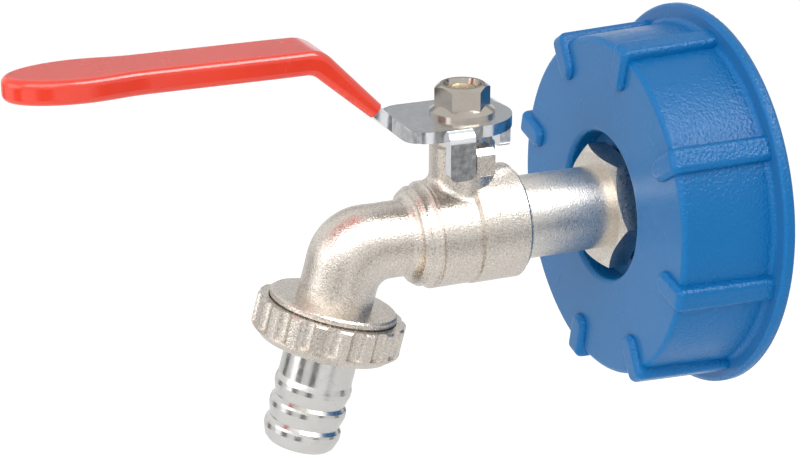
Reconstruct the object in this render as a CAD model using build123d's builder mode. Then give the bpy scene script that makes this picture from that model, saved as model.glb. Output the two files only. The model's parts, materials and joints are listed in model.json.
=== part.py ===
from build123d import *
import math
import os

os.makedirs("parts", exist_ok=True)

# A ball valve on a screw cap for a bulk container's outlet. Millimetres, +Z up.
# The origin is the centre of the cap's open mouth. +Y points to the tank.
# Stations named ..._s are measured from the mouth towards -Y, along the valve's axis.
# Stations named ..._t are measured down the outlet's own axis from where it meets the valve's axis.

# Tank cap
flange_r = 41.0
flange_t = 2.6
cap_depth = 23.0
wall_r = 36.1
wall_draft = 0.9
cap_face_t = 9.5
cap_edge_fillet = 1.2
rib_count = 8
rib_start_deg = 32.0
rib_w = 5.2
rib_h = 2.0
rib_reach = 8.0
rib_proud = 1.4
rib_corner_r = 1.7
rib_overlap = 2.0
tank_thread_r = 27.4
tank_thread_depth = 2.6
tank_thread_pitch = 6.0
tank_groove_mouth_w = 3.6
tank_groove_floor_w = 1.8
tank_thread_end_s = 8.8
gasket_seat_r = 26.6
recess_r = 15.8
recess_depth = 5.0

# Inlet tailpiece and its seals
inlet_thread_r = 10.48
inlet_thread_pitch = 1.814
inlet_thread_depth = 1.1
inlet_end_s = 11.7
hex_flats = 23.2
hex_top_s = 24.4
hex_turn_deg = -5.0
neck_r = 8.8
body_joint_s = 43.8
joint_thread_r = 10.2
joint_recess = 0.6
flow_r = 5.0
inlet_gasket_t = 1.2
tank_gasket_t = 2.0
tank_gasket_w = 6.5
body_seal_t = 0.8

# Pipe threads: the groove's widths at crest and root as shares of the pitch
groove_mouth_share = 0.8
groove_floor_share = 0.2
groove_over = 0.15

# Valve body
stem_s = 55.25
chamber_r = 12.05
chamber_edge_r = 1.0
chamber_step_r = 11.1
chamber_step_w = 0.7
chamber_bore_r = 9.2
ring_groove_s = 63.2
ring_groove_w = 0.5
ring_groove_depth = 0.3
ring_one_s = 64.0
ring_one_end_s = 66.2
ring_one_end_r = 10.35
ring_two_s = 67.3
ring_two_r = 9.6
ring_two_end_s = 70.0
ring_two_end_r = 7.8
ring_round = 2.2
spout_r = 7.9
spout_drop = 0.7
outlet_s = 80.1
outlet_tilt_deg = 15.4
elbow_outer_r = 12.0
elbow_inner_r = 2.6
elbow_bore_bend_r = 9.0
elbow_lead = 1.5
elbow_slices = 8
collar_r = 13.35
collar_top_t = 12.7
collar_edge = 0.4
outlet_end_t = 18.0
outlet_thread_start_t = 15.0
outlet_thread_r = 13.1
outlet_thread_pitch = 1.814
outlet_thread_depth = 1.0
tower_r = 6.75
tower_top_z = 18.8
tower_foot_fillet = 2.0
lug_w = 4.0
lug_x = 12.0
lug_top_z = 20.2
lug_foot_z = 14.7
lug_foot_drop = 2.2
lug_edge = 1.2

# Ball, seats, stem and gland
ball_r = 8.5
seat_near = 4.3
seat_far = 7.6
seat_bore_r = 5.4
seat_lip = 1.4
ball_clear = 0.06
slot_w = 3.2
slot_floor_z = 6.0
stem_r = 4.0
fit_clear = 0.05
stem_collar_r = 5.0
stem_collar_z = 9.25
stem_collar_t = 1.1
thrust_t = 0.8
o_ring_z = 12.3
o_ring_wire_r = 0.45
packing_r = 5.55
packing_low_z = 13.4
packing_t = 2.6
gland_r = 6.2
gland_top_z = 21.7
flats_w = 5.6
stem_end_z = 30.0

# Lever, grip and nut
sheet_t = 2.4
plate_low_z = 22.2
plate_half_w = 10.2
handle_half_w = 5.2
lever_bend_y = 15.2
lever_rise_deg = 43.0
handle_z = 40.25
lever_tip_y = 88.0
low_bend_r = 2.2
high_bend_r = 5.0
tab_bend_r = 1.8
tab_corner_r = 1.4
tab_out = 12.1
tab_gap = 0.3
tab_w = 5.5
tab_a_low_z = 14.2
tab_b_low_z = 15.1
grip_start_y = 21.0
grip_start_half_w = 5.9
grip_start_half_t = 1.7
grip_half_w = 6.6
grip_half_t = 2.5
grip_end_y = 94.2
grip_bulge_w = 7.9
grip_bulge_length = 15.0
grip_neck_length = 27.0
grip_round = 1.5
grip_bend_out_r = 7.0
grip_bend_in_r = 3.5
nut_flats = 10.0
nut_flange_r = 6.7
nut_h = 6.2
nut_flange_h = 1.5
nut_thread_r = 3.0
nut_recess_r = 3.9
nut_recess_depth = 1.4

# Union nut and hose tail
union_r = 15.6
union_mouth_depth = 1.6
union_top_t = 14.3
union_end_t = 22.2
union_base_step = 0.4
union_base_edge = 1.4
union_lip_t = 1.4
flute_count = 18
flute_depth = 0.9
flute_cut_r = 2.2
flute_end_t = 20.2
thread_clear = 0.15
washer_t = 1.2
tail_flange_r = 11.6
tail_flange_t = 1.45
tail_neck_r = 7.75
tail_bore_r = 5.6
barb_r = 8.1
barb_edge = 0.15
barb_valley_r = 7.35
barb_first_t = 30.7
barb_pitch = 4.8
barb_count = 3
barb_land = 1.0
barb_shoulder = 1.2
tail_end_t = 44.2
tail_end_r = 7.0
tail_end_edge = 0.4

# Section planes: local x is the radius, local y runs along each axis
valve_section = Plane(origin=(0, 0, 0), x_dir=(1, 0, 0), z_dir=(0, 0, -1))
valve_axis = Axis((0, 0, 0), (0, -1, 0))
stem_section = Plane(origin=(0, -stem_s, 0), x_dir=(1, 0, 0), z_dir=(0, -1, 0))
stem_axis = Axis((0, -stem_s, 0), (0, 0, 1))
tilt = math.radians(outlet_tilt_deg)
outlet_dir = Vector(0, -math.sin(tilt), -math.cos(tilt))
outlet_origin = Vector(0, -outlet_s, 0)
outlet_axis = Axis(outlet_origin, outlet_dir)
outlet_section = Plane(origin=outlet_origin, x_dir=(1, 0, 0), z_dir=Vector(1, 0, 0).cross(outlet_dir))


def level(z):
    """A horizontal plane at this height, with its origin on the stem's axis."""
    return Plane(origin=(0, -stem_s, z), x_dir=(1, 0, 0), z_dir=(0, 0, 1))


def across(s):
    """A plane square to the valve's axis at this station, facing -Y."""
    return Plane(origin=(0, -s, 0), x_dir=(1, 0, 0), z_dir=(0, -1, 0))


def outlet_level(t):
    """A plane square to the outlet's axis at this station, facing down it."""
    return Plane(origin=outlet_origin + outlet_dir * t, x_dir=(1, 0, 0), z_dir=outlet_dir)


def save(piece, name):
    """Label one finished piece and write its STEP file."""
    piece.part.label = name
    export_step(piece.part, f"parts/{name}.step")


def thread_groove(start, pitch, length, r, root_r, mouth_w, floor_w):
    """A helical groove along the start plane's normal, from radius r to radius root_r."""
    helix = Helix(pitch, length, r, center=start.origin, direction=start.z_dir)
    radial = ((helix @ 0) - start.origin).normalized()
    side = Plane(origin=helix @ 0, x_dir=radial, z_dir=helix % 0)
    depth = root_r - r
    over = -groove_over if depth > 0 else groove_over
    flare = (mouth_w - floor_w) / 2 * abs(over) / abs(depth)
    with BuildPart() as groove:
        with BuildSketch(side):
            with BuildLine():
                Polyline(
                    (over, -mouth_w / 2 - flare),
                    (depth, -floor_w / 2),
                    (depth, floor_w / 2),
                    (over, mouth_w / 2 + flare),
                    close=True,
                )
            make_face()
        sweep(path=helix, is_frenet=True)
    return groove.part


# Tank cap
cap_face_s = cap_depth
cap_inner_s = cap_face_s - cap_face_t
tank_wall_end_s = cap_inner_s - tank_gasket_t
recess_floor_s = cap_face_s - recess_depth
hub_bore_r = inlet_thread_r + fit_clear
tank_root_r = tank_thread_r + tank_thread_depth
tank_thread_length = tank_thread_end_s + tank_thread_pitch / 2
tank_groove = thread_groove(
    Plane(origin=(0, tank_thread_pitch / 2, 0), x_dir=(1, 0, 0), z_dir=(0, -1, 0)),
    tank_thread_pitch,
    tank_thread_length,
    tank_thread_r,
    tank_root_r,
    tank_groove_mouth_w,
    tank_groove_floor_w,
)

rib_top_r = wall_r + rib_h
rib_foot_r = wall_r - rib_overlap
rib_tip_r = wall_r - rib_reach
rib_top_s = cap_face_s + rib_proud
with BuildPart() as rib:
    with BuildSketch(valve_section):
        with BuildLine():
            Polyline(
                (rib_foot_r, flange_t / 2),
                (rib_top_r + wall_draft, flange_t / 2),
                (rib_top_r, rib_top_s),
                (rib_tip_r, rib_top_s),
                (rib_tip_r, cap_face_s - rib_proud),
                (rib_foot_r, cap_face_s - rib_proud),
                close=True,
            )
        make_face()
        corner = vertices().group_by(Axis.Y)[-1].sort_by(Axis.X)[-1]
        fillet(corner, rib_corner_r)
    extrude(amount=rib_w / 2, both=True)
    tip_corners = edges().filter_by(Axis.Y).group_by(Axis.X)[0]
    fillet(tip_corners, rib_w / 2 - fit_clear)
    outer = [
        e
        for e in edges()
        if (e.center().X > wall_r + rib_h / 2 or e.center().Y < -cap_face_s - rib_proud / 2)
        and abs(e.tangent_at(0.5).Z) < 0.5
    ]
    rims = [e for e in outer if abs(e.center().Z) > rib_w / 4 or e.center().X < rib_tip_r + rib_w / 2]
    fillet(rims, rib_proud * 0.9)

with BuildPart() as tank_cap:
    with BuildSketch(valve_section):
        with BuildLine():
            Polyline(
                (tank_thread_r, 0),
                (flange_r, 0),
                (flange_r, flange_t),
                (wall_r + wall_draft, flange_t),
                (wall_r, cap_face_s),
                (recess_r, cap_face_s),
                (recess_r, recess_floor_s),
                (hub_bore_r, recess_floor_s),
                (hub_bore_r, cap_inner_s),
                (gasket_seat_r, cap_inner_s),
                (gasket_seat_r, tank_wall_end_s),
                (tank_thread_r, tank_wall_end_s),
                close=True,
            )
        make_face()
    revolve(axis=valve_axis)
    outer_rim = edges().filter_by(GeomType.CIRCLE).filter_by(lambda e: abs(e.radius - wall_r) < 0.01)
    fillet(outer_rim, cap_edge_fillet)
    recess_rim = edges().filter_by(GeomType.CIRCLE).filter_by(
        lambda e: abs(e.radius - recess_r) < 0.01 and abs(e.center().Y + cap_face_s) < 0.01
    )
    fillet(recess_rim, cap_edge_fillet)
    flange_rims = edges().filter_by(GeomType.CIRCLE).filter_by(lambda e: abs(e.radius - flange_r) < 0.01)
    fillet(flange_rims, flange_t / 3)
    flange_root = edges().filter_by(GeomType.CIRCLE).filter_by(
        lambda e: abs(e.radius - wall_r - wall_draft) < 0.01
    )
    fillet(flange_root, cap_edge_fillet)
    add(tank_groove, mode=Mode.SUBTRACT)
    for index in range(rib_count):
        angle = rib_start_deg + index * 360 / rib_count
        add(rib.part.rotate(Axis.Y, -angle))
save(tank_cap, "tank_cap")

with BuildPart() as tank_gasket:
    with BuildSketch(across(tank_wall_end_s)):
        Circle(gasket_seat_r)
        Circle(gasket_seat_r - tank_gasket_w, mode=Mode.SUBTRACT)
    extrude(amount=tank_gasket_t)
save(tank_gasket, "tank_gasket")

with BuildPart() as inlet_gasket:
    with BuildSketch(across(recess_floor_s)):
        Circle(hex_flats / 2)
        Circle(hub_bore_r, mode=Mode.SUBTRACT)
    extrude(amount=inlet_gasket_t)
save(inlet_gasket, "inlet_gasket")

# The body's ledge inside its inlet end, where the seal and the seat meet
ledge_s = stem_s - seat_far
joint_end_s = ledge_s - body_seal_t

# Inlet tailpiece: male tank-side thread, hexagon, neck, and the thread that screws into the body
hex_low_s = recess_floor_s + inlet_gasket_t
inlet_groove = thread_groove(
    across(inlet_end_s - inlet_thread_pitch / 2),
    inlet_thread_pitch,
    hex_low_s - inlet_end_s - inlet_thread_pitch,
    inlet_thread_r,
    inlet_thread_r - inlet_thread_depth,
    inlet_thread_pitch * groove_mouth_share,
    inlet_thread_pitch * groove_floor_share,
)
with BuildPart() as inlet_tailpiece:
    with BuildSketch(valve_section):
        with BuildLine():
            Polyline(
                (flow_r, inlet_end_s),
                (inlet_thread_r - inlet_thread_depth, inlet_end_s),
                (inlet_thread_r, inlet_end_s + inlet_thread_depth),
                (inlet_thread_r, hex_low_s),
                (neck_r, hex_low_s),
                (neck_r, body_joint_s + joint_recess),
                (joint_thread_r, body_joint_s + joint_recess),
                (joint_thread_r, joint_end_s),
                (flow_r, joint_end_s),
                close=True,
            )
        make_face()
    revolve(axis=valve_axis)
    add(inlet_groove, mode=Mode.SUBTRACT)
    with BuildSketch(across(hex_low_s)):
        RegularPolygon(hex_flats / 2, 6, major_radius=False, rotation=hex_turn_deg)
        Circle(flow_r, mode=Mode.SUBTRACT)
    extrude(amount=hex_top_s - hex_low_s)
    with BuildSketch(valve_section):
        with BuildLine():
            Polyline(
                (hex_flats / 2, hex_top_s),
                (hex_flats / 2 + 3, hex_top_s),
                (hex_flats / 2 + 3, hex_top_s - 1.8),
                close=True,
            )
        make_face()
    revolve(axis=valve_axis, mode=Mode.SUBTRACT)
save(inlet_tailpiece, "inlet_tailpiece")

with BuildPart() as body_seal:
    with BuildSketch(across(joint_end_s)):
        Circle(joint_thread_r)
        Circle(seat_bore_r, mode=Mode.SUBTRACT)
    extrude(amount=body_seal_t)
save(body_seal, "body_seal")

# Valve body: chamber, tower, lug, elbow spout and threaded outlet in one casting
turn = math.pi / 2 - tilt
elbow_corner = outlet_origin + outlet_dir * (spout_drop / math.cos(tilt))
elbow_height = elbow_inner_r + 2 * spout_r
pivot_off = elbow_inner_r + spout_r
pivot = elbow_corner + Vector(0, pivot_off * math.tan(turn / 2), -pivot_off)
round_off = (elbow_height - elbow_outer_r) / math.cos(turn / 2)
round_start = math.atan(round_off * math.sin(turn / 2) / elbow_height)
drop_axis = Axis((0, 0, -spout_drop), (0, -1, 0))
drop_section = valve_section.offset(0).moved(Location((0, 0, -spout_drop)))


def elbow_outline(angle):
    """Distance from the elbow's inner round to its outer line, at this angle of the turn."""
    if angle < round_start:
        return elbow_height / math.cos(angle)
    if angle > turn - round_start:
        return elbow_height / math.cos(turn - angle)
    aside = angle - turn / 2
    return round_off * math.cos(aside) + math.sqrt(elbow_outer_r**2 - (round_off * math.sin(aside)) ** 2)


def elbow_slice(angle, shift=0.0):
    """The section plane at this angle, moved along the pipe by the shift, and the pipe's half height."""
    half = (elbow_outline(angle) - elbow_inner_r) / 2
    along = Vector(0, -math.cos(angle), -math.sin(angle))
    out = Vector(0, -math.sin(angle), math.cos(angle))
    origin = pivot + out * (elbow_inner_r + half) + along * shift
    return Plane(origin=origin, x_dir=(1, 0, 0), z_dir=along), half


spout_start_s = stem_s + chamber_bore_r
first_slice, last_slice = elbow_slice(0, -elbow_lead), elbow_slice(turn, elbow_lead)
inner_slices = [elbow_slice(turn * index / elbow_slices) for index in range(elbow_slices + 1)]
spout_run = -first_slice[0].origin.Y - spout_start_s
spout_fall = outlet_end_t - (last_slice[0].origin - outlet_origin).dot(outlet_dir)
with BuildPart() as spout:
    for place, half in [first_slice] + inner_slices + [last_slice]:
        with BuildSketch(place):
            Ellipse(spout_r, half)
    loft()
    with BuildSketch(first_slice[0]):
        Circle(spout_r)
    extrude(amount=-spout_run)
    with BuildSketch(last_slice[0]):
        Circle(spout_r)
    extrude(amount=spout_fall)

bore_start_s = stem_s + ball_r - seat_lip
bore_end = outlet_origin + outlet_dir * (outlet_end_t + 1)
with BuildPart() as spout_bore:
    with BuildLine(Plane.YZ):
        FilletPolyline(
            (-bore_start_s, 0),
            (elbow_corner.Y, elbow_corner.Z),
            (bore_end.Y, bore_end.Z),
            radius=elbow_bore_bend_r,
        )
    with BuildSketch(across(bore_start_s)):
        Circle(flow_r)
    sweep()

outlet_groove = thread_groove(
    outlet_level(outlet_thread_start_t),
    outlet_thread_pitch,
    outlet_end_t - outlet_thread_start_t + outlet_thread_pitch,
    outlet_thread_r,
    outlet_thread_r - outlet_thread_depth,
    outlet_thread_pitch * groove_mouth_share,
    outlet_thread_pitch * groove_floor_share,
)
with BuildPart() as outlet_collar:
    with BuildSketch(outlet_section):
        with BuildLine():
            Polyline(
                (spout_r - 1, collar_top_t),
                (collar_r - collar_edge, collar_top_t),
                (collar_r, collar_top_t + collar_edge),
                (collar_r, union_top_t - 0.3),
                (outlet_thread_r, union_top_t - 0.1),
                (outlet_thread_r, outlet_end_t - 0.6),
                (outlet_thread_r - 0.6, outlet_end_t),
                (spout_r - 1, outlet_end_t),
                close=True,
            )
        make_face()
    revolve(axis=outlet_axis)
    add(outlet_groove, mode=Mode.SUBTRACT)

core_start_s = body_joint_s + 2 * chamber_edge_r
with BuildPart() as valve_body:
    with BuildSketch(drop_section):
        with BuildLine():
            Polyline(
                (ring_two_end_r, ring_two_end_s),
                (0, ring_two_end_s),
                (0, core_start_s),
                (chamber_step_r, core_start_s),
                (chamber_step_r, ring_groove_s),
                (chamber_step_r - ring_groove_depth, ring_groove_s + ring_groove_w / 2),
                (chamber_step_r, ring_groove_s + ring_groove_w),
                (chamber_step_r, ring_one_s),
            )
            RadiusArc((chamber_step_r, ring_one_s), (ring_one_end_r, ring_one_end_s), ring_round)
            Line((ring_one_end_r, ring_one_end_s), (ring_two_r, ring_two_s))
            RadiusArc((ring_two_r, ring_two_s), (ring_two_end_r, ring_two_end_s), ring_round)
        make_face()
    revolve(axis=drop_axis)
    with BuildSketch(level(0)):
        Circle(tower_r)
    extrude(amount=tower_top_z)
    tower_foot = edges().filter_by(
        lambda e: e.geom_type not in (GeomType.CIRCLE, GeomType.LINE) and e.center().Z > chamber_bore_r / 2
    )
    fillet(tower_foot, tower_foot_fillet)
    tower_rim = faces().sort_by(Axis.Z)[-1].edges()
    chamfer(tower_rim, 0.5)
    with BuildSketch(valve_section):
        with BuildLine():
            inlet_edge = Line((0, body_joint_s), (chamber_r - chamber_edge_r, body_joint_s))
            RadiusArc(inlet_edge @ 1, (chamber_r, body_joint_s + chamber_edge_r), chamber_edge_r)
            Polyline(
                (chamber_r, body_joint_s + chamber_edge_r),
                (chamber_r, stem_s - chamber_step_w / 2),
                (chamber_step_r - spout_drop, stem_s + chamber_step_w / 2),
                (0, stem_s + chamber_step_w / 2),
                (0, body_joint_s),
            )
        make_face()
    revolve(axis=valve_axis)
    with BuildSketch(stem_section):
        with BuildLine():
            Polyline(
                (tower_r - lug_edge, tower_top_z - lug_edge),
                (tower_r, tower_top_z - lug_edge),
                (tower_r + lug_edge / 2, lug_top_z),
                (lug_x - lug_edge, lug_top_z),
                (lug_x, lug_top_z - lug_edge),
                (lug_x, lug_foot_z),
                (tower_r, lug_foot_z - lug_foot_drop),
                (tower_r - lug_edge, lug_foot_z - lug_foot_drop),
                close=True,
            )
        make_face()
    extrude(amount=lug_w / 2, both=True)
    add(spout.part)
    add(outlet_collar.part)
    with BuildSketch(across(body_joint_s)):
        Circle(joint_thread_r + fit_clear)
    extrude(amount=ledge_s - body_joint_s, mode=Mode.SUBTRACT)
    with BuildSketch(across(ledge_s)):
        Circle(chamber_bore_r)
    extrude(amount=2 * seat_far, mode=Mode.SUBTRACT)
    add(spout_bore.part, mode=Mode.SUBTRACT)
    with BuildSketch(level(0)):
        Circle(stem_collar_r + fit_clear)
    extrude(amount=stem_collar_z + stem_collar_t + thrust_t, mode=Mode.SUBTRACT)
    with BuildSketch(level(0)):
        Circle(stem_r + fit_clear)
    extrude(amount=tower_top_z, mode=Mode.SUBTRACT)
    with BuildSketch(level(packing_low_z)):
        Circle(packing_r + fit_clear)
    extrude(amount=tower_top_z, mode=Mode.SUBTRACT)
save(valve_body, "valve_body")

with BuildPart() as ball:
    with Locations((0, -stem_s, 0)):
        Sphere(ball_r)
    with BuildSketch(across(stem_s - ball_r)):
        Circle(flow_r)
    extrude(amount=2 * ball_r, mode=Mode.SUBTRACT)
    with BuildSketch(level(slot_floor_z)):
        Rectangle(2 * ball_r, slot_w)
    extrude(amount=ball_r, mode=Mode.SUBTRACT)
save(ball, "ball")

for name, first_s in (("seat_inlet", stem_s - seat_far), ("seat_outlet", stem_s + seat_near)):
    with BuildPart() as seat:
        with BuildSketch(across(first_s)):
            Circle(chamber_bore_r - fit_clear)
            Circle(seat_bore_r, mode=Mode.SUBTRACT)
        extrude(amount=seat_far - seat_near)
        with Locations((0, -stem_s, 0)):
            Sphere(ball_r + ball_clear, mode=Mode.SUBTRACT)
    save(seat, name)

# Stem, its washer, seals and gland
thrust_low_z = stem_collar_z + stem_collar_t
gland_low_z = packing_low_z + packing_t
with BuildPart() as stem:
    with BuildSketch(stem_section):
        with BuildLine():
            Polyline(
                (0, stem_collar_z),
                (stem_collar_r, stem_collar_z),
                (stem_collar_r, thrust_low_z - fit_clear),
                (stem_r, thrust_low_z - fit_clear),
                (stem_r, o_ring_z - o_ring_wire_r),
                (stem_r - 2 * o_ring_wire_r + fit_clear, o_ring_z - o_ring_wire_r),
                (stem_r - 2 * o_ring_wire_r + fit_clear, o_ring_z + o_ring_wire_r),
                (stem_r, o_ring_z + o_ring_wire_r),
                (stem_r, plate_low_z + sheet_t),
                (nut_thread_r, plate_low_z + sheet_t),
                (nut_thread_r, stem_end_z - 0.6),
                (nut_thread_r - 0.6, stem_end_z),
                (0, stem_end_z),
                close=True,
            )
        make_face()
    revolve(axis=stem_axis)
    with BuildSketch(level(plate_low_z)):
        with Locations((0, stem_r + flats_w / 2), (0, -stem_r - flats_w / 2)):
            Rectangle(2 * stem_r, 2 * stem_r)
    extrude(amount=sheet_t, mode=Mode.SUBTRACT)
    with BuildSketch(level(slot_floor_z + 0.2)):
        Rectangle(2 * stem_r, slot_w - 0.2)
    extrude(amount=stem_collar_z - slot_floor_z)
save(stem, "stem")

with BuildPart() as thrust_washer:
    with BuildSketch(level(thrust_low_z)):
        Circle(stem_collar_r)
        Circle(stem_r + fit_clear, mode=Mode.SUBTRACT)
    extrude(amount=thrust_t)
save(thrust_washer, "thrust_washer")

with BuildPart() as stem_o_ring:
    with BuildSketch(stem_section):
        with Locations((stem_r - o_ring_wire_r + fit_clear, o_ring_z)):
            Circle(o_ring_wire_r - fit_clear / 2)
    revolve(axis=stem_axis)
save(stem_o_ring, "stem_o_ring")

with BuildPart() as stem_packing:
    with BuildSketch(level(packing_low_z)):
        Circle(packing_r)
        Circle(stem_r + fit_clear, mode=Mode.SUBTRACT)
    extrude(amount=packing_t)
save(stem_packing, "stem_packing")

with BuildPart() as gland_nut:
    with BuildSketch(stem_section):
        with BuildLine():
            Polyline(
                (stem_r + fit_clear, gland_low_z),
                (packing_r, gland_low_z),
                (packing_r, tower_top_z),
                (gland_r, tower_top_z),
                (gland_r, gland_top_z - 0.5),
                (gland_r - 0.5, gland_top_z),
                (stem_r + fit_clear, gland_top_z),
                close=True,
            )
        make_face()
    revolve(axis=stem_axis)
save(gland_nut, "gland_nut")

# Lever: the bent strip's side profile, cut to its plan, with two stop tabs bent down
rise = math.radians(lever_rise_deg)
plate_mid_z = plate_low_z + sheet_t / 2
lever_rise_run = (handle_z - plate_mid_z) / math.tan(rise)
handle_start_y = lever_bend_y + lever_rise_run


def lever_line(first):
    """Side view of the lever's middle line, from this point over the bends to the tip."""
    lower_bend = (-stem_s - lever_bend_y, plate_mid_z)
    upper_bend = (-stem_s - handle_start_y, handle_z)
    tip = (-stem_s - lever_tip_y, handle_z)
    return FilletPolyline(first, lower_bend, upper_bend, tip, radius=(low_bend_r, high_bend_r))


with BuildPart() as lever:
    with BuildSketch(Plane.YZ):
        with BuildLine():
            lever_line((-stem_s + plate_half_w, plate_mid_z))
        trace(line_width=sheet_t)
    extrude(amount=plate_half_w, both=True)
    with BuildSketch(level(0)):
        with BuildLine():
            edge = Polyline(
                (0, -lever_tip_y),
                (handle_half_w, -lever_tip_y),
                (handle_half_w, -lever_bend_y - 4.0),
                (plate_half_w, -lever_bend_y + 3.6),
                (plate_half_w, 0),
            )
            RadiusArc(edge @ 1, (0, plate_half_w), -plate_half_w)
            Line((0, plate_half_w), (0, -lever_tip_y))
        make_face()
        fillet(vertices().filter_by(lambda v: -lever_tip_y + 1 < v.Y < -1 and v.X > 1), plate_half_w / 2)
        mirror(about=Plane.YZ)
    extrude(amount=2 * handle_z, mode=Mode.INTERSECT)
    tab_mid = tab_out - sheet_t / 2
    tab_start = lug_w / 2 + tab_gap
    with BuildSketch(Plane(origin=(0, -stem_s - tab_start, 0), x_dir=(1, 0, 0), z_dir=(0, -1, 0))):
        with BuildLine():
            FilletPolyline((0, plate_mid_z), (tab_mid, plate_mid_z), (tab_mid, tab_a_low_z), radius=tab_bend_r)
        trace(line_width=sheet_t)
    extrude(amount=tab_w)
    with BuildSketch(Plane(origin=(-tab_start - tab_w, -stem_s, 0), x_dir=(0, 1, 0), z_dir=(1, 0, 0))):
        with BuildLine():
            FilletPolyline((0, plate_mid_z), (tab_mid, plate_mid_z), (tab_mid, tab_b_low_z), radius=tab_bend_r)
        trace(line_width=sheet_t)
    extrude(amount=tab_w)
    tab_a_corners = edges().filter_by(Axis.X).filter_by(lambda e: abs(e.center().Z - tab_a_low_z) < fit_clear)
    tab_b_corners = edges().filter_by(Axis.Y).filter_by(lambda e: abs(e.center().Z - tab_b_low_z) < fit_clear)
    fillet(tab_a_corners + tab_b_corners, tab_corner_r)
    with BuildSketch(level(0)):
        Circle(stem_r + fit_clear)
        Rectangle(4 * stem_r, flats_w + 2 * fit_clear, mode=Mode.INTERSECT)
    extrude(amount=2 * handle_z, mode=Mode.SUBTRACT)
save(lever, "lever")

# Grip: thin at its start, full on the straight part, with a rounded spoon of an end
bend = Vector(-stem_s - handle_start_y, handle_z)
uphill = Vector(-math.cos(rise), math.sin(rise))
outward = Vector(math.sin(rise), math.cos(rise))
grip_start = bend - uphill * ((handle_start_y - grip_start_y) / math.cos(rise))
bend_shift = Vector(grip_half_t * math.tan(rise / 2), grip_half_t)
grip_tip = Vector(-stem_s - grip_end_y, handle_z)
half_t = Vector(0, grip_half_t)
grip_neck_y = grip_end_y - grip_neck_length
bulge_y = grip_end_y - grip_bulge_length
with BuildPart() as lever_grip:
    with BuildSketch(Plane.YZ):
        with BuildLine():
            FilletPolyline(
                grip_start + outward * grip_start_half_t,
                bend + bend_shift,
                grip_tip + half_t,
                radius=grip_bend_out_r,
            )
            FilletPolyline(
                grip_start - outward * grip_start_half_t,
                bend - bend_shift,
                grip_tip - half_t,
                radius=grip_bend_in_r,
            )
            Line(grip_start + outward * grip_start_half_t, grip_start - outward * grip_start_half_t)
            Line(grip_tip + half_t, grip_tip - half_t)
        make_face()
    extrude(amount=2 * grip_half_w, both=True)
    with BuildSketch(level(0)):
        with BuildLine():
            edge = Polyline(
                (0, -lever_bend_y),
                (grip_start_half_w, -lever_bend_y),
                (grip_half_w, -handle_start_y - grip_bend_out_r),
                (grip_half_w, -grip_neck_y),
            )
            swell = Spline(edge @ 1, (grip_bulge_w, -bulge_y), tangents=[(0, -1), (0, -1)])
            EllipticalCenterArc(
                (0, -bulge_y), grip_bulge_w, grip_bulge_length, start_angle=270, arc_size=90
            )
            Line((0, -grip_end_y), (0, -lever_bend_y))
        make_face()
        mirror(about=Plane.YZ)
    extrude(amount=2 * handle_z, mode=Mode.INTERSECT)
    long_edges = [
        e
        for e in edges()
        if abs(e.tangent_at(0.5).X) < 0.95
        and abs(e.tangent_at(0.5).Z) < 0.95
        and e.center().Y < -stem_s - grip_start_y - grip_half_t / 2
    ]
    fillet(long_edges, grip_round)
    add(lever.part, mode=Mode.SUBTRACT)
save(lever_grip, "lever_grip")

with BuildPart() as lever_nut:
    nut_low_z = plate_low_z + sheet_t
    nut_top_z = nut_low_z + nut_h
    nut_corner_r = nut_flats / math.sqrt(3)
    with BuildSketch(level(nut_low_z)):
        RegularPolygon(nut_flats / 2, 6, major_radius=False, rotation=15)
    extrude(amount=nut_h)
    with BuildSketch(stem_section):
        with BuildLine():
            Polyline(
                (0, nut_low_z),
                (nut_corner_r, nut_low_z),
                (nut_corner_r, nut_top_z - 0.8),
                (nut_corner_r - 1.2, nut_top_z),
                (0, nut_top_z),
                close=True,
            )
        make_face()
    revolve(axis=stem_axis, mode=Mode.INTERSECT)
    with BuildSketch(stem_section):
        with BuildLine():
            Polyline(
                (0, nut_low_z),
                (nut_flange_r, nut_low_z),
                (nut_flange_r, nut_low_z + nut_flange_h / 2),
                (nut_flats / 2, nut_low_z + nut_flange_h * 1.3),
                (0, nut_low_z + nut_flange_h * 1.3),
                close=True,
            )
        make_face()
    revolve(axis=stem_axis)
    with BuildSketch(stem_section):
        with BuildLine():
            Polyline(
                (0, nut_low_z),
                (nut_thread_r + fit_clear, nut_low_z),
                (nut_thread_r + fit_clear, nut_top_z - nut_recess_depth),
                (nut_recess_r - 0.4, nut_top_z - nut_recess_depth),
                (nut_recess_r, nut_top_z),
                (0, nut_top_z),
                close=True,
            )
        make_face()
    revolve(axis=stem_axis, mode=Mode.SUBTRACT)
save(lever_nut, "lever_nut")

# Union nut: bore round the outlet's thread, flutes round the rim, lip that holds the hose tail
union_bore_r = outlet_thread_r + thread_clear
union_base_r = union_r - union_base_step
washer_top_t = outlet_end_t + fit_clear
tail_top_t = washer_top_t + washer_t
lip_top_t = union_end_t - union_lip_t
with BuildPart() as union_nut:
    with BuildSketch(outlet_section):
        with BuildLine():
            Polyline(
                (collar_r + thread_clear, union_top_t),
                (union_r - 0.4, union_top_t),
                (union_r, union_top_t + 0.4),
                (union_r, flute_end_t + 0.4),
                (union_base_r, flute_end_t + 0.8),
                (union_base_r, union_end_t - union_base_edge),
                (union_base_r - union_base_edge, union_end_t),
                (barb_r + thread_clear, union_end_t),
                (barb_r + thread_clear, lip_top_t),
                (union_bore_r, lip_top_t),
                (union_bore_r, union_top_t + union_mouth_depth),
                (collar_r + thread_clear, union_top_t + union_mouth_depth),
                close=True,
            )
        make_face()
    revolve(axis=outlet_axis)
    with BuildSketch(outlet_level(union_top_t)):
        with PolarLocations(union_r - flute_depth + flute_cut_r, flute_count):
            Circle(flute_cut_r)
    extrude(amount=flute_end_t - union_top_t, mode=Mode.SUBTRACT)
save(union_nut, "union_nut")

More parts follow.
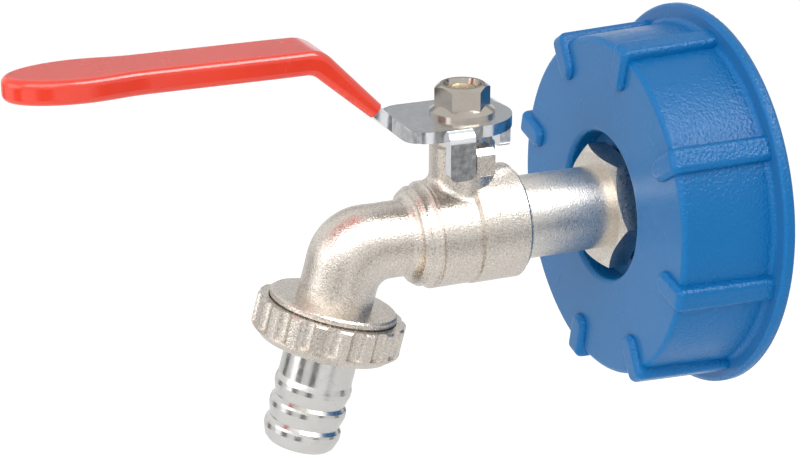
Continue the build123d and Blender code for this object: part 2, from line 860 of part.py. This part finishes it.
with BuildPart() as union_washer:
    with BuildSketch(outlet_level(washer_top_t)):
        Circle(tail_flange_r)
        Circle(tail_bore_r, mode=Mode.SUBTRACT)
    extrude(amount=washer_t)
save(union_washer, "union_washer")

with BuildPart() as hose_tail:
    with BuildSketch(outlet_section):
        with BuildLine():
            points = [
                (tail_bore_r, tail_top_t),
                (tail_flange_r, tail_top_t),
                (tail_flange_r, tail_top_t + tail_flange_t),
                (tail_neck_r, tail_top_t + tail_flange_t),
                (tail_neck_r, barb_first_t - barb_shoulder),
            ]
            for index in range(barb_count):
                crest_t = barb_first_t + index * barb_pitch
                next_t = crest_t + barb_pitch - barb_shoulder
                points.append((barb_r - barb_edge, crest_t - barb_shoulder * 0.45))
                points.append((barb_r, crest_t))
                points.append((barb_r, crest_t + barb_land))
                if index < barb_count - 1:
                    points.append((barb_valley_r, next_t))
            points.append((tail_end_r + tail_end_edge, tail_end_t - 2 * tail_end_edge))
            points.append((tail_end_r - tail_end_edge, tail_end_t))
            points.append((tail_bore_r, tail_end_t))
            Polyline(*points, close=True)
        make_face()
    revolve(axis=outlet_axis)
save(hose_tail, "hose_tail")
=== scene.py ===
# Looks of the container ball valve: studio, camera, and a procedural finish for every piece.
import json
import math

import bpy
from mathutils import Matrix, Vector


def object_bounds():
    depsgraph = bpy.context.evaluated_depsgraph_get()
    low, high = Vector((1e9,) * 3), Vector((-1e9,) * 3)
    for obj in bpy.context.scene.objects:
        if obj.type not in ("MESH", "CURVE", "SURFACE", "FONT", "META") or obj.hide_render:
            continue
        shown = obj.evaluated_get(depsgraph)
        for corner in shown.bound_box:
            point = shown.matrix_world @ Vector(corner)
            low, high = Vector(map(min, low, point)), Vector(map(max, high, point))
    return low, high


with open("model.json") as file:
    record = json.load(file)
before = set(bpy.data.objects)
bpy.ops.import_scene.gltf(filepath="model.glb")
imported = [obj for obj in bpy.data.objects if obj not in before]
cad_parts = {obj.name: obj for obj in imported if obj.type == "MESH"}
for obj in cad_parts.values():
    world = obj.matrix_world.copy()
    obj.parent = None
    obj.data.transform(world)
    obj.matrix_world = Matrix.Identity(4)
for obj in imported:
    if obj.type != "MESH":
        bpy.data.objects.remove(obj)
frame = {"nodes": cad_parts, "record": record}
cad_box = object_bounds()
MM = 0.001

WHITE = (1, 1, 1, 1)

# Camera: the photograph's viewing angle, for an image of 800 by 456; places in mm, angles in degrees
CAMERA_AZIMUTH = 67.28
CAMERA_ELEVATION = 20.12
CAMERA_PLACE = (408.0, -239.8, 163.5)
CAMERA_CLIP_METRES = 0.01
FOCAL_PIXELS = 2300.0
IMAGE_WIDTH = 800
SENSOR_WIDTH = 36.0

# Background: white where the camera and reflections see it, a softer level as light on the object
WORLD_LEVEL = 0.72
BACKGROUND_LEVEL = 1.0

# Floor, in mm, and how much the camera sees it lifted towards white
FLOOR_DROP = 160.0
FLOOR_SIZE = 6000.0
FLOOR_COLOR = (0.95, 0.95, 0.95, 1)
FLOOR_ROUGHNESS = 0.9
FLOOR_LIFT = 0.25

# Cards around the object, low down, in mm and degrees
CARD_ANGLES = (-75, -35, 20, 75, 130, 230)
CARD_DISTANCE = 420.0
CARD_MIDDLE_Y = -70.0
CARD_HEIGHT = -90.0
CARD_HALF_WIDTH = 65.0
CARD_HALF_HEIGHT = 110.0
CARD_COLOR = (0.22, 0.22, 0.22, 1)
CARD_ROUGHNESS = 0.8

# Most of a noise texture's values lie between these two
NOISE_LOW = 0.3
NOISE_HIGH = 0.7


def add_camera():
    data = bpy.data.cameras.new("photo_camera")
    data.sensor_width = SENSOR_WIDTH
    data.lens = FOCAL_PIXELS / IMAGE_WIDTH * SENSOR_WIDTH
    data.clip_start = CAMERA_CLIP_METRES
    camera = bpy.data.objects.new("photo_camera", data)
    camera.location = Vector(CAMERA_PLACE) * MM
    camera.rotation_euler = (math.radians(90 - CAMERA_ELEVATION), 0, math.radians(CAMERA_AZIMUTH))
    bpy.context.scene.collection.objects.link(camera)
    bpy.context.scene.camera = camera


def add_light(name, place, aim, size, power):
    data = bpy.data.lights.new(name, "AREA")
    data.shape = "RECTANGLE"
    data.size, data.size_y = (v * MM for v in size)
    data.energy = power
    light = bpy.data.objects.new(name, data)
    light.location = Vector(place) * MM
    light.rotation_euler = (Vector(aim) * MM - light.location).to_track_quat("-Z", "Y").to_euler()
    bpy.context.scene.collection.objects.link(light)
    return light


def add_world():
    """White to the camera and in reflections, softer as light on the object."""
    world = bpy.data.worlds.new("studio")
    world.use_nodes = True
    nodes, links = world.node_tree.nodes, world.node_tree.links
    background = nodes["Background"]
    background.inputs["Color"].default_value = WHITE
    path = nodes.new("ShaderNodeLightPath")
    seen = nodes.new("ShaderNodeMath")
    seen.operation = "MAXIMUM"
    links.new(path.outputs["Is Camera Ray"], seen.inputs[0])
    bounced = nodes.new("ShaderNodeMath")
    bounced.operation = "MAXIMUM"
    links.new(path.outputs["Is Glossy Ray"], bounced.inputs[0])
    links.new(path.outputs["Is Transmission Ray"], bounced.inputs[1])
    links.new(bounced.outputs[0], seen.inputs[1])
    level = nodes.new("ShaderNodeMapRange")
    level.inputs["To Min"].default_value = WORLD_LEVEL
    level.inputs["To Max"].default_value = BACKGROUND_LEVEL
    links.new(seen.outputs[0], level.inputs["Value"])
    links.new(level.outputs[0], background.inputs["Strength"])
    bpy.context.scene.world = world
    bpy.context.scene.view_settings.view_transform = "Standard"


def add_sheet(name, corners, color, roughness):
    """A staged flat sheet of one plain paint, for the floor and the cards."""
    mesh = bpy.data.meshes.new(name)
    mesh.from_pydata([Vector(c) * MM for c in corners], [], [(0, 1, 2, 3)])
    sheet = bpy.data.objects.new(name, mesh)
    bpy.context.scene.collection.objects.link(sheet)
    material = bpy.data.materials.new(name + "_paint")
    material.use_nodes = True
    shader = material.node_tree.nodes["Principled BSDF"]
    shader.inputs["Base Color"].default_value = color
    shader.inputs["Roughness"].default_value = roughness
    mesh.materials.append(material)
    return sheet


def add_floor():
    """A pale floor well below the object, which keeps its shadow."""
    low = cad_box[0][2] / MM - FLOOR_DROP
    half = FLOOR_SIZE / 2
    corners = [(-half, -half, low), (half, -half, low), (half, half, low), (-half, half, low)]
    floor = add_sheet("floor", corners, FLOOR_COLOR, FLOOR_ROUGHNESS)
    material = floor.data.materials[0]
    nodes, links = material.node_tree.nodes, material.node_tree.links
    path = nodes.new("ShaderNodeLightPath")
    lift = nodes.new("ShaderNodeMath")
    lift.operation = "MULTIPLY"
    lift.inputs[1].default_value = FLOOR_LIFT
    links.new(path.outputs["Is Camera Ray"], lift.inputs[0])
    shader = nodes["Principled BSDF"]
    shader.inputs["Emission Color"].default_value = WHITE
    links.new(lift.outputs[0], shader.inputs["Emission Strength"])


def add_card(name, centre, across, up, color=CARD_COLOR):
    """A card that only reflections see, from its centre and two half-edges."""
    middle, across, up = Vector(centre), Vector(across), Vector(up)
    corners = [middle - across - up, middle + across - up, middle + across + up, middle - across + up]
    card = add_sheet(name, corners, color, CARD_ROUGHNESS)
    card.visible_camera = False
    card.visible_shadow = False
    card.visible_diffuse = False


class Finish:
    """A principled material being built, with shorthands for its nodes."""

    def __init__(self, name, color, metallic, roughness):
        self.material = bpy.data.materials.new(name)
        self.material.use_nodes = True
        self.nodes = self.material.node_tree.nodes
        self.links = self.material.node_tree.links
        self.shader = self.nodes["Principled BSDF"]
        self.shader.inputs["Base Color"].default_value = (*color, 1)
        self.shader.inputs["Metallic"].default_value = metallic
        self.shader.inputs["Roughness"].default_value = roughness

    def noise(self, size_mm, detail=2.0, rough=0.5):
        """Noise with features about this many millimetres across."""
        node = self.nodes.new("ShaderNodeTexNoise")
        node.inputs["Scale"].default_value = 1 / (size_mm * MM)
        node.inputs["Detail"].default_value = detail
        node.inputs["Roughness"].default_value = rough
        coordinates = self.nodes.new("ShaderNodeTexCoord")
        self.links.new(coordinates.outputs["Object"], node.inputs["Vector"])
        return node.outputs["Fac"]

    def spread(self, value, low, high, first=NOISE_LOW, last=NOISE_HIGH):
        """The value between first and last spread over low to high."""
        node = self.nodes.new("ShaderNodeMapRange")
        node.inputs["From Min"].default_value = first
        node.inputs["From Max"].default_value = last
        node.inputs["To Min"].default_value = low
        node.inputs["To Max"].default_value = high
        self.links.new(value, node.inputs["Value"])
        return node.outputs["Result"]

    def bump(self, height, depth_mm, strength=1.0):
        """Adds a bump of this height on top of those made before."""
        node = self.nodes.new("ShaderNodeBump")
        node.inputs["Strength"].default_value = strength
        node.inputs["Distance"].default_value = depth_mm * MM
        self.links.new(height, node.inputs["Height"])
        normal = self.shader.inputs["Normal"]
        if normal.is_linked:
            self.links.new(normal.links[0].from_socket, node.inputs["Normal"])
        self.links.new(node.outputs["Normal"], normal)
        return node

    def facing(self, direction, first=0.9, last=0.99):
        """0 to 1 where the surface looks this way in the object's own axes."""
        coordinates = self.nodes.new("ShaderNodeTexCoord")
        dot = self.nodes.new("ShaderNodeVectorMath")
        dot.operation = "DOT_PRODUCT"
        dot.inputs[1].default_value = direction
        self.links.new(coordinates.outputs["Normal"], dot.inputs[0])
        return self.spread(dot.outputs["Value"], 0.0, 1.0, first, last)

    def vary_roughness(self, size_mm, low, high, detail=2.0):
        """Roughness between low and high over patches of this size."""
        self.links.new(self.spread(self.noise(size_mm, detail), low, high), self.shader.inputs["Roughness"])

    def vary_color(self, size_mm, one, two, detail=2.0):
        """The base colour between two colours over patches of this size."""
        self.mix_color(self.spread(self.noise(size_mm, detail), 0.0, 1.0), one, two)

    def mix_color(self, factor, one, two):
        """The base colour from one to two as the factor goes from 0 to 1."""
        node = self.nodes.new("ShaderNodeMix")
        node.data_type = "RGBA"
        node.inputs["A"].default_value = (*one, 1)
        node.inputs["B"].default_value = (*two, 1)
        self.links.new(factor, node.inputs["Factor"])
        self.links.new(node.outputs["Result"], self.shader.inputs["Base Color"])


def cap_plastic():
    """Blue plastic: pebbled and glossy round the wall, smoother on the flat face, with a paler blue painted
    on the face as sheen.
    """
    f = Finish("cap_plastic", (0.003, 0.15, 0.42), metallic=0.0, roughness=0.4)
    facing = f.facing((0, -1, 0))
    f.shader.inputs["Specular IOR Level"].default_value = 0.28
    pebble = f.bump(f.noise(size_mm=0.6, detail=2.0), depth_mm=0.22)
    f.links.new(f.spread(facing, low=1.0, high=0.2, first=0.0, last=1.0), pebble.inputs["Strength"])
    f.vary_roughness(size_mm=9.0, low=0.2, high=0.3)
    # Painted sheen: the flat face gets a paler, greyer blue than the wall.
    f.mix_color(facing, (0.0, 0.15, 0.42), (0.022, 0.155, 0.39))
    return f.material


def cast_nickel():
    """Blasted casting under nickel: a fine sparkling grain."""
    f = Finish("cast_nickel", (0.74, 0.7, 0.65), metallic=1.0, roughness=0.36)
    f.bump(f.noise(size_mm=0.33, detail=1.0), depth_mm=0.11, strength=0.85)
    f.vary_roughness(size_mm=0.5, low=0.22, high=0.36, detail=4.0)
    f.vary_color(size_mm=0.35, one=(0.78, 0.725, 0.66), two=(0.52, 0.47, 0.415), detail=3.0)
    return f.material


def nickel_brass():
    """Nickel on brass, with a slightly shallower grain than the casting."""
    f = Finish("nickel_brass", (0.7, 0.66, 0.6), metallic=1.0, roughness=0.3)
    f.bump(f.noise(size_mm=0.33, detail=1.0), depth_mm=0.09, strength=0.75)
    f.vary_roughness(size_mm=0.6, low=0.26, high=0.4, detail=3.0)
    f.vary_color(size_mm=0.35, one=(0.8, 0.755, 0.69), two=(0.6, 0.55, 0.49), detail=3.0)
    return f.material


def bright_metal(name, color, roughness):
    """Smooth plated or turned metal with faint waves and wear."""
    f = Finish(name, color, metallic=1.0, roughness=roughness)
    f.bump(f.noise(size_mm=1.6, detail=2.0), depth_mm=0.03, strength=0.5)
    f.vary_roughness(size_mm=1.2, low=roughness * 0.7, high=roughness * 1.5, detail=3.0)
    f.vary_color(size_mm=10.0, one=color, two=tuple(c * 0.95 for c in color))
    return f.material


def soft_plastic(name, color, roughness):
    """Rubber or plain plastic of the seals."""
    f = Finish(name, color, metallic=0.0, roughness=roughness)
    f.bump(f.noise(size_mm=2.0, detail=2.0), depth_mm=0.03, strength=0.3)
    f.vary_roughness(size_mm=3.0, low=roughness * 0.85, high=roughness * 1.15)
    f.vary_color(size_mm=15.0, one=color, two=tuple(c * 0.9 for c in color))
    return f.material


def grip_plastic():
    """Red dipped plastic with a glossy skin."""
    f = Finish("grip_plastic", (0.76, 0.042, 0.016), metallic=0.0, roughness=0.2)
    f.shader.inputs["Coat Weight"].default_value = 0.7
    f.shader.inputs["Coat Roughness"].default_value = 0.15
    f.bump(f.noise(size_mm=5.0, detail=2.0), depth_mm=0.08, strength=0.35)
    f.vary_roughness(size_mm=4.0, low=0.18, high=0.28)
    f.vary_color(size_mm=20.0, one=(0.84, 0.036, 0.006), two=(0.78, 0.03, 0.005))
    return f.material


add_camera()
add_world()
add_floor()
add_light("key_light", place=(700, -600, 900), aim=(0, -60, 0), size=(900, 900), power=6)
add_light("left_light", place=(100, -1200, 300), aim=(0, -60, 0), size=(800, 800), power=3)
gloss = add_light("gloss_light", place=(450, 180, 720), aim=(0, -90, 20), size=(600, 420), power=6)
gloss.visible_diffuse = False

# Cards that only reflections see: a pale grey one behind for the flat plate, darker ones low down all round
add_card("card_behind", centre=(-560, 190, 250), across=(150, 360, 0), up=(0, 0, 130),
         color=(0.4, 0.41, 0.42, 1))
for index, angle in enumerate(CARD_ANGLES):
    outward = Vector((math.cos(math.radians(angle)), math.sin(math.radians(angle)), 0))
    sideways = Vector((-outward.y, outward.x, 0))
    add_card(f"card_{index}", outward * CARD_DISTANCE + Vector((0, CARD_MIDDLE_Y, CARD_HEIGHT)),
             sideways * CARD_HALF_WIDTH, Vector((0, 0, CARD_HALF_HEIGHT)))

finishes = {
    "cap_plastic": cap_plastic(),
    "seal_rubber": soft_plastic("seal_rubber", (0.02, 0.02, 0.02), 0.6),
    "ptfe": soft_plastic("ptfe", (0.8, 0.8, 0.77), 0.4),
    "nickel_brass": nickel_brass(),
    "cast_nickel": cast_nickel(),
    "chromed_steel": bright_metal("chromed_steel", (0.74, 0.75, 0.77), 0.16),
    "grip_plastic": grip_plastic(),
    "plated_steel": bright_metal("plated_steel", (0.46, 0.42, 0.37), 0.16),
    "brass": bright_metal("brass", (0.66, 0.5, 0.3), 0.3),
    "polished_chrome": bright_metal("polished_chrome", (0.82, 0.82, 0.82), 0.05),
    "polished_nickel": bright_metal("polished_nickel", (0.64, 0.63, 0.61), 0.19),
}
for row in frame["record"]["subparts"]:
    mesh = frame["nodes"][row["node"]].data
    mesh.materials.clear()
    mesh.materials.append(finishes[row["material_slot"]])
